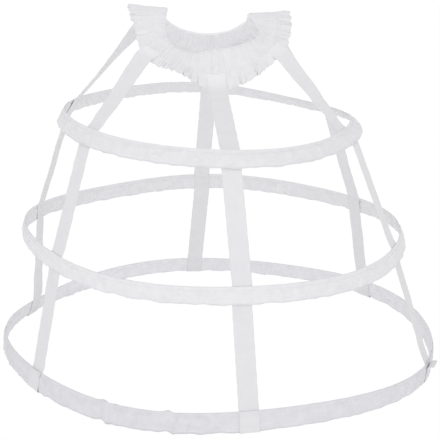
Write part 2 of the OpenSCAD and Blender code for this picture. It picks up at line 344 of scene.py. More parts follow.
def cloth_mesh(name, rings, along, across, looped, material):
    """A closed skin of cloth over rings of points in mm, with UVs along and across it in metres."""
    count, round_count = rings.shape[:2]
    rows = np.arange(count if looped else count - 1)
    i, j = np.meshgrid(rows, np.arange(round_count), indexing="ij")
    after, beside = (i + 1) % count, (j + 1) % round_count
    quads = np.stack([i * round_count + j, after * round_count + j,
                      after * round_count + beside, i * round_count + beside], -1).reshape(-1, 4)
    corners = ((i, j), (i + 1, j), (i + 1, j + 1), (i, j + 1))
    laid = np.stack([np.stack([along[u], across[v]], -1) for u, v in corners], 2).reshape(-1, 4, 2)
    points = rings.reshape(-1, 3) * MM
    corner = points[quads]
    solid = np.einsum("ij,ij->", corner[:, 0], np.cross(corner[:, 1], corner[:, 2]))
    solid += np.einsum("ij,ij->", corner[:, 0], np.cross(corner[:, 2], corner[:, 3]))
    if solid < 0:
        quads, laid = quads[:, ::-1], laid[:, ::-1]
    faces = quads.tolist()
    laid = laid.reshape(-1, 2)
    if not looped:
        first = list(range(round_count))
        last = [(count - 1) * round_count + k for k in range(round_count)]
        faces += [first, last[::-1]] if solid > 0 else [first[::-1], last]
        laid = np.r_[laid, np.zeros((2 * round_count, 2))]
    mesh = bpy.data.meshes.new(name)
    mesh.from_pydata(points.tolist(), [], faces)
    mesh.uv_layers.new(name="cloth").data.foreach_set("uv", (laid * MM).astype(np.float32).ravel())
    mesh.polygons.foreach_set("use_smooth", np.ones(len(faces), bool))
    mesh.set_sharp_from_angle(angle=np.radians(70))
    mesh.materials.append(material)
    piece = bpy.data.objects.new(name, mesh)
    bpy.context.scene.collection.objects.link(piece)
    return piece


def laid_cloth(finish):
    """The cloth's own UV map, and the distances along and across it in metres."""
    laid = finish.node("ShaderNodeUVMap", {"uv_map": "cloth"}, {})
    return laid, *(finish.node("ShaderNodeSeparateXYZ", {}, {0: laid}, out=way) for way in ("X", "Y"))


def cotton_finish(name, light, shaded, fold=None, dulling_and_edge_shade=0.0, inside=0.0, rolled=None):
    """Plain-woven cotton: threads crossing half a millimetre apart, with thicker ones here and there. A
    casing has painted shade along its fold and a little along its sewn edge, and the inside amount paints its
    inner face lighter, and darker when it is below 0. The waistband has a painted highlight where it rolls, and
    its inner side is painted a little lighter."""
    finish = Finish(name, Specular_IOR_Level=0.2, Sheen_Weight=0.08, Sheen_Roughness=0.6)
    laid, along, across = laid_cloth(finish)
    weave = (along * 12000).sine() * (across * 12000).sine()
    thick_warp = finish.noise(finish.stretched(laid, (60, 1500, 1)), 1, 3)
    thick_weft = finish.noise(finish.stretched(laid, (1500, 60, 1)), 1, 3)
    limp = finish.noise(laid, 70, 4)
    rumpled = finish.noise(finish.stretched(laid, (95, 55, 1)), 1, 3)
    tone_and_painted_light = 0.8 * limp + 0.5 * thick_warp + 0.4 * thick_weft - 0.35
    fold_narrowness, edge_narrowness = 300, 420
    if fold:
        from_fold = abs(across - fold)
        by_fold = (1 - from_fold * fold_narrowness).clipped()
        by_seam = (from_fold * edge_narrowness - (fold * edge_narrowness - 1)).clipped()
        # Painted shade along the fold, which turns down away from the light, and a little along the sewn edge;
        # the inside amount paints the inner face lighter, and darker when it is below 0.
        tone_and_painted_light = tone_and_painted_light + dulling_and_edge_shade * by_fold + 0.15 * dulling_and_edge_shade * by_seam - inside * across.over(fold)
    if rolled:
        by_roll = (1 - abs(across - rolled) * edge_narrowness).clipped()
        # Painted highlight along the rolled top edge, and the band's inner side painted a little lighter.
        tone_and_painted_light = tone_and_painted_light - 1.1 * by_roll - 0.05 * across.over(rolled)
    colour = finish.mixed(tone_and_painted_light, light, shaded)
    relief = 0.15 * weave + 0.5 * thick_warp + 0.5 * thick_weft + 1.2 * limp + 1.6 * rumpled
    return finish.finished(colour, 0.78 + 0.14 * thick_weft, relief, strength=0.34, distance=0.0016)


# The hem's casing is the same cotton in darker colours: painted shade for the lowest hoop, which gets less
# light. It has more painted shade along its fold and a painted-light inner face.
shaded_hem_cotton = cotton_finish("shaded_hem_cotton", (0.885, 0.883, 0.91), (0.695, 0.693, 0.73),
                           fold=0.0289, dulling_and_edge_shade=1.3, inside=0.4)
casing_cotton = cotton_finish("casing_cotton", (0.935, 0.933, 0.95), (0.795, 0.793, 0.82),
                              fold=0.0264, dulling_and_edge_shade=1.0, inside=-0.05)
casing_rings = {}


def casing_fold(hoop):
    """The folded strip in section: its middle line, the run along that, and the way out of it."""
    top = casing_half_height[hoop]
    side = [(0.42, top), (0.48, top - 3), (1.1, top - 5.5), (1.75, top - 8), (1.85, 0),
            (1.75, 5 - top), (1.15, 1.6 - top), (0, 0.4 - top)]
    fold, run = smoothed(side + [(-out, up) for out, up in side[-2::-1]], fold_points)
    way = np.gradient(fold, axis=0)
    facing = np.stack([-way[:, 1], way[:, 0]], -1) / np.linalg.norm(way, axis=1)[:, None]
    return fold, run, facing * np.sign(facing[fold_bottom // 2, 0])


def casing_relief(hoop, angle, along, length, run, loose, seed):
    """Heights in mm of a casing's creases, its puckers beside the seam and the seam's own groove."""
    relief = creased(along, run, length, crease_spacing, crease_depth, seed)
    relief += bulge_depth * wandering(along, length, 14, 40, 9, seed + 1)[:, None]
    for edge, row in ((run[0], seed + 2), (run[-1], seed + 3)):
        pucker = wandering(along, length, 5, 13, 12, row)[:, None]
        relief += pucker_depth * pucker * hump(abs(run - edge)[None] - pucker_in, pucker_width)
    deepest = np.where(from_joint(hoop, angle) < joint_reach, dent_over_joiner, dent_over_bone)[:, None]
    relief = np.clip(relief, -deepest, highest_crease)
    pressed = hump(run, edge_width) + hump(run[-1] - run, edge_width)
    relief = relief * (1 - edge_pressed * pressed)[None]
    by_tape = np.clip(relief, -dent_by_tape, crease_by_tape + crease_beside_tape * loose)
    relief = np.where(loose < 1, by_tape, relief)
    for seam in (run[0] + seam_in, run[-1] - seam_in):
        relief = relief - groove_depth * hump(run - seam, groove_width)[None]
    return relief


def make_casing(hoop_word, hoop, count, seed, cotton):
    fold, run, facing = casing_fold(hoop)
    angle = np.arange(count) * 360 / count
    middle = hoop_place(hoop, angle, 0, 0)
    along = np.r_[0, np.cumsum(np.linalg.norm(np.roll(middle, -1, 0) - middle, axis=1))]
    length = along[-1]
    beside = np.min([past_tape(hoop, angle, tape) for tape in all_tapes], 0)
    loose = np.clip(arc_length(hoop, beside) / tape_hold, 0, 1)[:, None]
    relief = casing_relief(hoop, angle, along[:-1], length, run, loose, seed)
    stepped = np.zeros((count, 1))
    if hoop == HEM:
        for kink, tip in hem_kinks:
            off = (along[:-1] - kink / 360 * length)[:, None]
            slant = off + tip * (run - run[fold_bottom])[None]
            side_width = np.where(slant > kink_off, kink_back, kink_front)
            relief = relief + kink_height * hump(slant - kink_off, side_width)
            step = -step_height * off / step_run * hump(off, step_reach)
            stepped = stepped + np.clip(step, -step_lowest, None)

    low = hump(run - run[fold_bottom], 7)[None]
    high = hump(run, 6)[None] + hump(run[-1] - run, 6)[None]
    hitched = bottom_hitch * (1 + wandering(along[:-1], length, 18, 60, 8, seed + 4))[:, None] * low
    hitched += edge_hitch * wandering(along[:-1], length, 9, 30, 8, seed + 5)[:, None] * high
    hitched = np.clip(hitched * (0.35 + 0.65 * loose), 0, most_hitch)
    out = fold[None, :, 0] + relief * facing[None, :, 0]
    up = fold[None, :, 1] + relief * facing[None, :, 1] * 0.4
    up = up + hitched * low - 0.4 * hitched * high + stepped
    ply = casing_ply / 2 * facing
    outer = np.stack([out + ply[:, 0], up + ply[:, 1]], -1)
    inner = np.stack([out - ply[:, 0], up - ply[:, 1]], -1)[:, ::-2]
    section = np.concatenate([outer, inner], 1)
    around = np.broadcast_to(angle[:, None], section.shape[:2])
    rings = casing_place(hoop, around, section[..., 0], section[..., 1])
    piece = cloth_mesh(hoop_word + "_casing", rings, along, np.r_[run, run[::-2], 0], True, cotton)
    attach(piece, "root")
    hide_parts("casing_" + hoop_word)
    casing_rings[hoop] = (angle, run, rings)


make_casing("hem", HEM, count=1010, seed=11, cotton=shaded_hem_cotton)
make_casing("middle", MIDDLE, count=880, seed=22, cotton=casing_cotton)
make_casing("top", TOP, count=680, seed=33, cotton=casing_cotton)


# Waist elastic: a ribbed woven elastic, joined in a ring and stretched inside the waistband's channel.
# It is hidden by the band on every side.
waist_half = 62
waist_lift = 450
waist_turn = 7
waist_shift = -16
edge_out = (4, 14, 18, -2, 6, 8, 4, 5, 4, -5, 10, 8)
edge_up = (1, 7, 18, 41, 26, 10, 7, 16, 34, 50, 16, -3)
frill_out = (0.48, 0.53, 0.70, 1.00, 0.80, 0.62, 0.48, 0.58, 0.83, 0.93, 0.63, 0.53)
frill_fall = (0.87, 0.72, 0.28, -0.03, 0.23, 0.58, 0.85, 0.68, 0.30, -0.08, 0.44, 0.39)
elastic_top, elastic_bottom = 2.9, 34.9
elastic_half = 0.5
elastic_ribs = 15
elastic_steps = 240
rib_depth = 0.08


def round_value(values, angle):
    """A smooth closed curve through equally spaced values."""
    values = np.asarray(values, float)
    count = len(values)
    place = angle / 360 * count + count
    first = np.floor(place).astype(int)
    t = place - first
    p, q, r, w = (values[(first + k) % count] for k in (-1, 0, 1, 2))
    return q + t / 2 * (r - p + t * (2 * p - 5 * q + 4 * r - w + t * (3 * (q - r) + w - p)))


def band_middle(angle, down):
    """Points in the middle of the band, down in mm from its rolled top edge."""
    radius = waist_half + round_value(edge_out, angle) + down * round_value(frill_out, angle)
    height = waist_lift + round_value(edge_up, angle) - down * round_value(frill_fall, angle)
    turn = np.radians(angle + waist_turn)
    place = np.stack([waist_shift + radius * np.sin(turn), -radius * np.cos(turn), height], -1)
    return place - packed_origin


def straightened(vectors):
    return vectors / np.linalg.norm(vectors, axis=-1, keepdims=True)


def band_tangent(angle, down):
    return straightened(band_middle(angle + 1, down) - band_middle(angle - 1, down))


def band_facing(angle, down):
    falling = straightened(band_middle(angle, down + 1) - band_middle(angle, down - 1))
    return straightened(np.cross(falling, band_tangent(angle, down)))


def band_place(angle, down, out):
    return band_middle(angle, down) + out[..., None] * band_facing(angle, down)


def elastic_finish():
    """Woven elastic: ribs along it, wrapped in fine covering thread."""
    finish = Finish("elastic_webbing", Specular_IOR_Level=0.25, Sheen_Weight=0.05)
    laid, _, across = laid_cloth(finish)
    ribs = (across * 2900).sine()
    covering = finish.noise(finish.stretched(laid, (2400, 300, 1)), 1)
    colour = finish.mixed(0.3 + 0.3 * ribs + 0.3 * covering, (0.72, 0.72, 0.73), (0.80, 0.80, 0.81))
    relief = ribs + 0.5 * covering
    return finish.finished(colour, 0.6 + 0.2 * covering, relief, strength=0.5, distance=0.0003)


elastic_angle = np.arange(elastic_steps) * 1.5
elastic_face = np.linspace(elastic_top, elastic_bottom, elastic_ribs)
elastic_down = np.r_[elastic_face, np.linspace(elastic_bottom, elastic_top, elastic_ribs)]
ribbed = elastic_half + rib_depth * np.cos(np.arange(elastic_ribs) * np.pi) - rib_depth
elastic_grid = np.meshgrid(elastic_angle, elastic_down, indexing="ij")
elastic_out = np.broadcast_to(np.r_[ribbed, -ribbed], elastic_grid[0].shape)
elastic_rings = band_place(*elastic_grid, elastic_out)
waist_elastic = cloth_mesh("ribbed_elastic", elastic_rings, np.arange(elastic_steps + 1) * 2.0,
                           np.r_[elastic_down, elastic_down[0]], True, elastic_finish())
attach(waist_elastic, "root")
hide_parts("waist_elastic")


# Waistband: a strip of the same cotton folded over the elastic and stitched below it, which the
# elastic draws up into fine gathers. The strip's lower part stands out below the channel as a frill.
band_width = 60
band_half = 1.75
channel = 37
channel_half = 0.95
roll_depth = 2.2
gather_count = 116
steps_per_gather = 8
waist_crossing = (2, 53.5, 120, 180, 237, 300.5)
gather_height, gather_roundness, gather_slant = 0.9, 0.7, 0.25
ruffle_height, wide_ruffle_height, ruffle_growth = 1.9, 1.1, 0.8
channel_seam, channel_seam_width = 36, 2.2
flat_from, flat_over, flat_reach = 33, 5, 2.4
tape_eases, flat_face = 0.92, 1.85
frill_from, ruffle_sway, pinch_over = 44, 0.3, 4
edge_wave, edge_wander, edge_up_most, edge_down_most = 1.1, 1.2, 2.6, 1.6
front_at, front_width, front_longer = 352, 22, 3
tuck_at, tuck_width, tuck_down, tuck_length, tuck_depth = 37, 2.0, 32, 16, 1.6


def crest_height(down):
    """How far the gathers' crests stand out of the middle of the band."""
    gather, ruffle = 0.8, 1.45
    falling = gather + ruffle * (down - channel) / (band_width - channel)
    return band_half + np.where(down <= channel, gather, falling)


def under_tape(angle, down):
    """1 under a tape that is sewn to the frill, and 0 clear of it."""
    flat = np.zeros_like(angle)
    for at in waist_crossing:
        off = abs(turned_from(angle, at))
        degree = np.linalg.norm(band_middle(np.full_like(off, at), down)
                                - band_middle(np.full_like(off, at + 1), down), axis=-1)
        flat = np.maximum(flat, np.clip(flat_reach - off * degree / (tape_half + 1), 0, 1))
    return flat * np.clip((down - flat_from) / flat_over, 0, 1)


band_angle = np.arange(gather_count * steps_per_gather) * 360 / (gather_count * steps_per_gather)
gather_phase = band_angle / 360 * gather_count
drift = 0.9 * wandering(band_angle, 360, 14, 60, 7, 51) + 0.35 * wandering(band_angle, 360, 6, 16, 7, 52)
wide_phase = band_angle / 360 * gather_count / 2 + 0.45 * wandering(band_angle, 360, 20, 70, 7, 53)
wide_fold = np.sin(2 * np.pi * wide_phase)
gather_chance = np.random.default_rng(5)


def uneven(least, most, count):
    """A chance size for each gather, evened out where one gather meets the next."""
    size = gather_chance.uniform(least, most, count)[(gather_phase + drift).astype(int) % gather_count]
    return (np.roll(size, 1) + np.roll(size, -1) + 2 * size) / 4


gather_size = uneven(0.45, 1.15, gather_count + 1)
ruffle_size = uneven(0.25, 1.35, gather_count)
roll_down = (0.05, 0.5, 1.2, 2.2)
down_outer = np.r_[np.linspace(band_width, 40, 13), np.linspace(37.5, 34, 4), np.linspace(30, 4, 9),
                   roll_down[::-1]]
down_inner = np.r_[roll_down, np.linspace(4, 30, 9), 33.5, 35.5, channel]
down_channel = np.r_[channel, 35.5, 33.5, 30, 20, 10, 3, 1.4, 0.9, 1.4, 3, 10, 20, 30, 33.5, 36]
down_back = np.linspace(38, band_width, 12)


def gathered(down, slack):
    """Height of the gathers and, below the channel, of the frill's ruffles, in mm."""
    fall = np.clip((down - channel) / (band_width - channel), 0, 1)
    fine = np.cos(2 * np.pi * ((gather_phase + drift)[:, None] + gather_slant * fall))
    crest = gather_height * gather_size[:, None] * (0.5 + 0.5 * fine) ** gather_roundness
    crest = crest * np.clip(down / 3, 0, 1) * (1 - 0.5 * hump(down - channel_seam, channel_seam_width))
    folds = ruffle_height * ruffle_size[:, None] * fine + wide_ruffle_height * wide_fold[:, None]
    folds = fall ** ruffle_growth * folds
    return crest * (1 - fall) + folds * slack


def frill_face(down, behind):
    """One face of the band, gathered over a face behind it and laid flat against each tape."""
    flat = under_tape(np.broadcast_to(band_angle[:, None], (len(band_angle), len(down))), down[None])
    return behind + gathered(down[None], 1 - tape_eases * flat) + flat * (crest_height(down) - flat_face)


def rolled_face(down):
    return band_half * np.sqrt(np.clip(1 - (1 - np.clip(down / roll_depth, 0, 1)) ** 2, 0, 1))[None]


def band_section():
    """How far out each line of the band lies: outer face, inner face, channel and back of the frill."""
    inner = gathered(down_inner[None], 1) * (down_inner < channel)
    pinch = np.clip((down_inner - channel + pinch_over) / pinch_over, 0, 1)
    face_inner = -(rolled_face(down_inner) + inner) + pinch * 2 * channel_half
    lining = np.r_[0.92, 0.6, -0.5, np.full(5, -channel_half), 0, np.full(7, channel_half)]
    lining = np.broadcast_to(lining, (len(band_angle), len(lining)))
    faces = (frill_face(down_outer, rolled_face(down_outer)), face_inner, lining,
             frill_face(down_back, channel_half))
    return np.concatenate(faces, 1), np.r_[down_outer, down_inner, down_channel, down_back]


band_out, band_down = band_section()
serrated = edge_wave * np.cos(2 * np.pi * (gather_phase + drift))
serrated = serrated + edge_wander * wandering(band_angle, 360, 4, 16, 9, 54)
serrated = np.clip(serrated, -edge_up_most, edge_down_most)
serrated = serrated + front_longer * hump(turned_from(band_angle, front_at), front_width)
frill_share = np.clip((band_down - frill_from) / (band_width - frill_from), 0, 1)[None]
band_depth = band_down[None] + serrated[:, None] * frill_share
sway = ruffle_sway * (wide_fold * 360 / gather_count)[:, None] * frill_share
tuck = hump(band_angle - tuck_at, tuck_width)[:, None] * hump(band_down - tuck_down, tuck_length)[None]
band_out = band_out - tuck_depth * tuck * (band_out > 1.2)
band_rings = band_place(band_angle[:, None] + sway, band_depth, band_out)
band_run = run_along(band_rings[0])
# The band's cotton has a painted highlight where it rolls over at the top.
band_cotton = cotton_finish("band_cotton", (0.955, 0.952, 0.975), (0.81, 0.81, 0.83),
                            rolled=band_run[len(down_outer)] * MM)
waistband = cloth_mesh("gathered_band", band_rings, np.arange(len(band_angle) + 1) * 0.9,
                       np.r_[band_run, 0], True, band_cotton)
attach(waistband, "root")
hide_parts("waistband")


# Tapes: six lengths of white herringbone twill tape, sewn to the frill, then to the inner face of each hoop.
# At the hem each goes under the casing and turns up on its outside, where it is sewn down. The front right
# one has come undone at its end, which stands out.
tape_names = ("front", "front_right", "back_right", "back", "back_left", "front_left")
tape_thick = 0.8
tape_gap = 0.3
tape_inside = 2.8
tape_past_edge = 0.45
tape_turn_up = 28.6
frill_levels = (38, 49, 63)
twist_soon = (1, 1, 3, 1, 3, 1)
loose_end = 12
loose_turn_up = 34.6
loose_bend = 4.5
seam_lean, seam_lean_over = 1.5, 9
top_lean, top_lean_over = 1.5, 5
fine_end, coarse_step = 70, 2.5
turn_from_end, turn_ease = 45, 3
run_softness, turn_softness = 2.2, 0.9
ripple_height, curl_height, fray = 0.16, 0.35, 0.18
hoop_tops, hoop_bottoms = [6, 11, 16], [7, 12, 17]
held_stops = [0, 1, 2, 6, 7, 11, 12, 16, 17, 18, 19]
face_points, edge_points = 13, 5


def crossing_stop(hoop, tape, out, up, slipped=0):
    half = tape_angle(hoop, tape)
    ends = hoop_place(hoop, crossing[hoop][tape] + np.array([-half, half]), out, up)
    wide = straightened(ends[1] - ends[0])
    return ends.mean(0) + slipped * wide, wide


def inner_stop(hoop, tape, side):
    slipped = -side * hoop_radius[hoop] * np.tan(np.radians(tape_slip[hoop][tape] / 2))
    return crossing_stop(hoop, tape, -tape_inside, side * (casing_half_height[hoop] + tape_past_edge), slipped)


frill_beside = np.linspace(-1, 1, 17) * (tape_half + tape_room)


def frill_stop(at, down):
    angle, down = np.array([at], float), np.array([down])
    crest = crest_height(np.minimum(down, band_width))
    middle = band_place(angle, down, crest)[0]
    facing = straightened(middle - band_middle(angle, down)[0])
    degree = np.linalg.norm(band_middle(angle + 1, down) - band_middle(angle, down))
    beside = at + frill_beside / degree
    bulge = band_place(beside, np.full_like(beside, down[0]), np.full_like(beside, crest[0])) - middle
    bulge = bulge @ facing
    return middle + (bulge.max() + tape_gap + tape_thick / 2) * facing, band_tangent(angle, down)[0]


def frill_curve(at, down, aside):
    """How far the frill curves away from a flat tape, at distances in mm to either side of its middle."""
    angle = np.full_like(down, at)
    crest = crest_height(np.minimum(down, band_width))
    degree = np.linalg.norm(band_middle(angle + 1, down) - band_middle(angle, down), axis=-1)
    beside = at + np.r_[aside, frill_beside][None] / degree[:, None]
    wide_down, wide_crest = (np.broadcast_to(v[:, None], beside.shape) for v in (down, crest))
    away = band_place(beside, wide_down, wide_crest) - band_place(angle, down, crest)[:, None]
    away = (away * band_facing(angle, down)[:, None]).sum(-1)
    return (away.max(1, keepdims=True) - away)[:, :len(aside)]


def free_run(start, end, twist):
    stops = []
    for t in np.linspace(0, 1, 5):
        wide = start[1] + (end[1] - start[1]) * (1 - (1 - t) ** twist)
        stops.append((start[0] + (end[0] - start[0]) * t, straightened(wide)))
    return stops


def tape_stops(tape):
    """The places that hold a tape, from the frill down and round the hem, each with the way across it."""
    sewn, held, leaves = (frill_stop(waist_crossing[tape], level) for level in frill_levels)
    low = casing_half_height[HEM] + tape_past_edge
    turn_up = loose_turn_up if tape == FRONT_RIGHT else tape_turn_up
    return ([sewn, held] + free_run(leaves, inner_stop(TOP, tape, 1), twist_soon[tape])
            + free_run(inner_stop(TOP, tape, -1), inner_stop(MIDDLE, tape, 1), 1)
            + free_run(inner_stop(MIDDLE, tape, -1), inner_stop(HEM, tape, 1), 1)
            + [crossing_stop(HEM, tape, out, up - low)
               for out, up in ((-tape_inside, 2), (0, 0), (tape_inside, 2), (tape_inside, turn_up))])


def eased(line, run, sigma):
    """A line of points softened over a length that may change along it."""
    weight = np.exp(-((run[:, None] - run[None]) / sigma[:, None]) ** 2 / 2)
    return weight @ line / weight.sum(1, keepdims=True)


def twill_finish():
    """Herringbone twill: slanting ribs a millimetre apart that turn about the tape's middle, and firm
    selvedges with painted shade along them. It is as pale as the band over its end on the frill, and painted
    shade darkens it lower down towards the hem."""
    finish = Finish("tape_twill", Specular_IOR_Level=0.2, Sheen_Weight=0.08, Sheen_Roughness=0.6)
    laid, along, across = laid_cloth(finish)
    ribs = ((along + abs(across)) * 6000).sine()
    threads = (across * 15000).sine()
    selvedge = abs(across).over(0.0122)
    limp = finish.noise(finish.stretched(laid, (60, 90, 1)), 1, 3)
    slubs = finish.noise(finish.stretched(laid, (90, 1700, 1)), 1, 2)
    below_frill = (along * 38).clipped()
    lower = (along * 3 - 0.5).clipped()
    # Painted shade along both selvedges and, from 17 cm down the tape, painted shade growing towards the hem;
    # over its end on the frill the tape takes the band's paler tone.
    tone_and_painted_light = 0.24 * limp + 0.16 * slubs + 0.06 * ribs + (0.46 + 0.14 * selvedge) * below_frill + 0.17 * lower
    colour = finish.mixed(tone_and_painted_light, (0.955, 0.952, 0.975), (0.755, 0.755, 0.77))
    relief = 0.5 * ribs * (1 - selvedge) + 0.15 * threads + slubs + 0.8 * limp
    return finish.finished(colour, 0.74 + 0.16 * slubs, relief, strength=0.2, distance=0.0005)


def tape_outline():
    """A tape in section: one flat face, a rounded edge, the other face and the other edge."""
    turn, edge_radius = np.radians(np.linspace(90, -90, edge_points)), 0.45
    edge = np.stack([tape_half - edge_radius + edge_radius * np.cos(turn), tape_thick / 2 * np.sin(turn)], -1)
    flat = np.linspace(-12.4, 12.4, face_points + 2)[1:-1]
    face = np.stack([flat, np.full(face_points, tape_thick / 2)], -1)
    return np.r_[face, edge, -face, -edge]


twill = twill_finish()
tape_section = tape_outline()
tape_faces = slice(0, face_points), slice(face_points + edge_points, 2 * face_points + edge_points)
tape_edges = 0, face_points - 1
tape_rings = {}


def tape_path(tape):
    """A tape's run to each stop, and at each fine step its run, place, ways across and along, and facing."""
    stops = tape_stops(tape)
    points, wides = (np.array(column) for column in zip(*stops))
    run = run_along(points)
    end = run[-1]
    fine = np.r_[np.arange(0, end - fine_end, coarse_step), np.linspace(end - fine_end + 1, end, fine_end)]
    line, wide = spread(fine, run, points), spread(fine, run, wides)
    extra = np.arange(1, 9)
    longer = np.r_[line[0] - (line[1] - line[0]) * extra[::-1, None], line,
                   line[-1] + (line[-1] - line[-2]) * extra[:, None]]
    reach = np.r_[fine[0] - (fine[1] - fine[0]) * extra[::-1], fine, end + (end - fine[-2]) * extra]
    turn = end - turn_from_end
    soft = np.interp(reach, [turn - turn_ease, turn + turn_ease], [run_softness, turn_softness])
    line = eased(longer, reach, soft)[8:-8]
    wide = straightened(eased(wide, fine, np.where(fine > turn, 1.0, 7.0)))
    ahead = straightened(np.gradient(line, axis=0))
    wide = straightened(wide - (wide * ahead).sum(1, keepdims=True) * ahead)
    facing = np.cross(wide, ahead)
    for top in run[hoop_tops]:
        line = line - top_lean * hump(fine - top - 1, top_lean_over)[:, None] * facing
    return run, fine, line, wide, ahead, facing


def turned_end(tape, left, line, ahead, facing):
    """The front right tape's end stands out from the hem, and the others lean on the casing's seam."""
    if tape == FRONT_RIGHT:
        loose = np.clip(loose_end - left, 0, None)[:, None]
        bend = np.minimum(loose / loose_bend, np.pi / 2)
        line = line + (loose_bend * (1 - np.cos(bend)) + loose - loose_bend * bend) * facing
        line = line + (loose_bend * np.sin(bend) - loose) * ahead
        return line, np.cos(bend) * facing - np.sin(bend) * ahead
    leaned = np.clip((seam_lean_over - left) / seam_lean_over, 0, 1) ** 1.5
    return line - seam_lean * leaned[:, None] * facing, facing


def make_tape(name, tape):
    run, fine, line, wide, ahead, facing = tape_path(tape)
    left = run[-1] - fine
    chance = np.random.default_rng(70 + tape)
    ripple = np.zeros(len(fine))
    for _ in range(7):
        ripple += np.cos(2 * np.pi * (fine / chance.uniform(22, 90) + chance.random())) * ripple_height
    still = np.min(abs(fine[:, None] - run[held_stops][None]), 1)
    ripple *= np.clip((still - 4) / 18, 0, 1)
    curl = curl_height * np.clip((still - 6) / 30, 0, 1) * np.cos(fine / 47 + tape)
    line, facing = turned_end(tape, left, line, ahead, facing)

    aside, thick = tape_section.T
    frayed = fray * np.cos(fine / 3.1 + tape)[:, None] * (abs(aside) > 12.7) * np.sign(aside)
    cupped = curl[:, None] * ((aside / tape_half) ** 2 - 0.4)
    on_frill = np.clip((run[2] - fine) / 10, 0, 1)[:, None]
    curve = on_frill * frill_curve(waist_crossing[tape], np.interp(fine, run[:3], frill_levels), aside)
    thin_start = np.clip(0.35 + fine / 9, 0, 1)
    thin_below = np.interp(left, (0, 6, 26, 34), (0.3, 0.55, 0.55, 1))
    for upper, under in zip(run[hoop_tops], run[hoop_bottoms]):
        thin_below = thin_below * (1 - 0.5 * np.clip(np.minimum(fine - upper, under - fine) / 5 + 0.5, 0, 1))
    layer = thick * (thin_start * thin_below)[:, None] + tape_thick / 2 * (thin_below - thin_start)[:, None]
    rings = line[:, None] + (aside + frayed)[..., None] * wide[:, None]
    rings = rings + (layer + curve + cupped + ripple[:, None])[..., None] * facing[:, None]
    piece = cloth_mesh(name + "_tape", rings, fine, np.r_[aside, aside[0]], False, twill)
    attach(piece, "root")
    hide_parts("tape_" + name)
    run[-1] * MM
    tape_rings[tape] = (fine, run, rings, facing)


for tape_number, tape_name in enumerate(tape_names):
    make_tape(tape_name, tape_number)


# Stitching: white sewing thread in a plain lockstitch, about three millimetres to a stitch. It closes the
# casings, holds the tapes to the hoops and the frill, and closes the elastic's channel.
casing_stitch_lift, stitch_lift = 0.12, 0.1
tape_rows_down = (9.5, 22.5)
band_rows_down = (3.9, 36.3, 57.5)


def stitch_tree():
    tree = bpy.data.node_groups.new("lockstitch", "GeometryNodeTree")
    face = tree.interface
    face.new_socket("Seams", in_out="INPUT", socket_type="NodeSocketGeometry")
    for label, size in (("Stitch spacing", 0.0033), ("Stitch length", 0.0024), ("Thread thickness", 0.00042)):
        face.new_socket(label, in_out="INPUT", socket_type="NodeSocketFloat").default_value = size
    face.new_socket("Thread", in_out="INPUT", socket_type="NodeSocketMaterial")
    face.new_socket("Stitches", in_out="OUTPUT", socket_type="NodeSocketGeometry")
    given, done, line, spots, stitch, size, shaped, laid, real, smooth, dyed = (
        tree.nodes.new(kind) for kind in
        ("NodeGroupInput", "NodeGroupOutput", "GeometryNodeMeshToCurve", "GeometryNodeCurveToPoints",
         "GeometryNodeMeshUVSphere", "ShaderNodeCombineXYZ", "GeometryNodeTransform",
         "GeometryNodeInstanceOnPoints", "GeometryNodeRealizeInstances", "GeometryNodeSetShadeSmooth",
         "GeometryNodeSetMaterial"))
    spots.mode = "LENGTH"
    for label, value in (("Segments", 6), ("Rings", 4), ("Radius", 0.5)):
        stitch.inputs[label].default_value = value
    for start, out, end, into in ((given, "Seams", line, "Mesh"),
                                  (line, "Curve", spots, "Curve"),
                                  (given, "Stitch spacing", spots, "Length"),
                                  (given, "Thread thickness", size, "X"),
                                  (given, "Thread thickness", size, "Y"),
                                  (given, "Stitch length", size, "Z"),
                                  (stitch, "Mesh", shaped, "Geometry"),
                                  (size, "Vector", shaped, "Scale"),
                                  (spots, "Points", laid, "Points"),
                                  (shaped, "Geometry", laid, "Instance"),
                                  (spots, "Rotation", laid, "Rotation"),
                                  (laid, "Instances", real, "Geometry"),
                                  (real, "Geometry", smooth, "Geometry"),
                                  (smooth, "Geometry", dyed, "Geometry"),
                                  (given, "Thread", dyed, "Material"),
                                  (dyed, "Geometry", done, "Stitches")):
        tree.links.new(start.outputs[out], end.inputs[into])
    return tree


def thread_finish():
    finish = Finish("thread", Specular_IOR_Level=0.3, Sheen_Weight=0.1)
    fuzz = finish.noise(finish.place(), 1800)
    colour = finish.mixed(fuzz, (0.76, 0.76, 0.78), (0.88, 0.88, 0.90))
    return finish.finished(colour, 0.55 + 0.2 * fuzz, fuzz, strength=0.3, distance=0.0002)


lockstitch = stitch_tree()
thread = thread_finish()


def sewn(name, seams, slot):
    """Stitches along lines of points in mm; each line is (points, whether it closes on itself)."""
    points, edges, count = [], [], 0
    for seam, closes in seams:
        number = len(seam)
        points += (seam * MM).tolist()
        edges += [(count + i, count + (i + 1) % number) for i in range(number if closes else number - 1)]
        count += number
    mesh = bpy.data.meshes.new(name + "_lines")
    mesh.from_pydata(points, edges, [])
    piece = bpy.data.objects.new(name, mesh)
    bpy.context.scene.collection.objects.link(piece)
    stitching = piece.modifiers.new("lockstitch", "NODES")
    stitching.node_group = lockstitch
    inputs = {item.name: item.identifier for item in lockstitch.interface.items_tree}
    stitching[inputs["Thread"]] = thread
    shown = piece.evaluated_get(bpy.context.evaluated_depsgraph_get())
    piece.data = bpy.data.meshes.new_from_object(shown)
    piece.modifiers.clear()
    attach(piece, "root")


def ways_out(rings):
    around = np.roll(rings, -1, 0) - np.roll(rings, 1, 0)
    return straightened(np.cross(around, np.gradient(rings, axis=1)))


def nearest(values, value):
    return int(np.argmin(abs(values - value)))


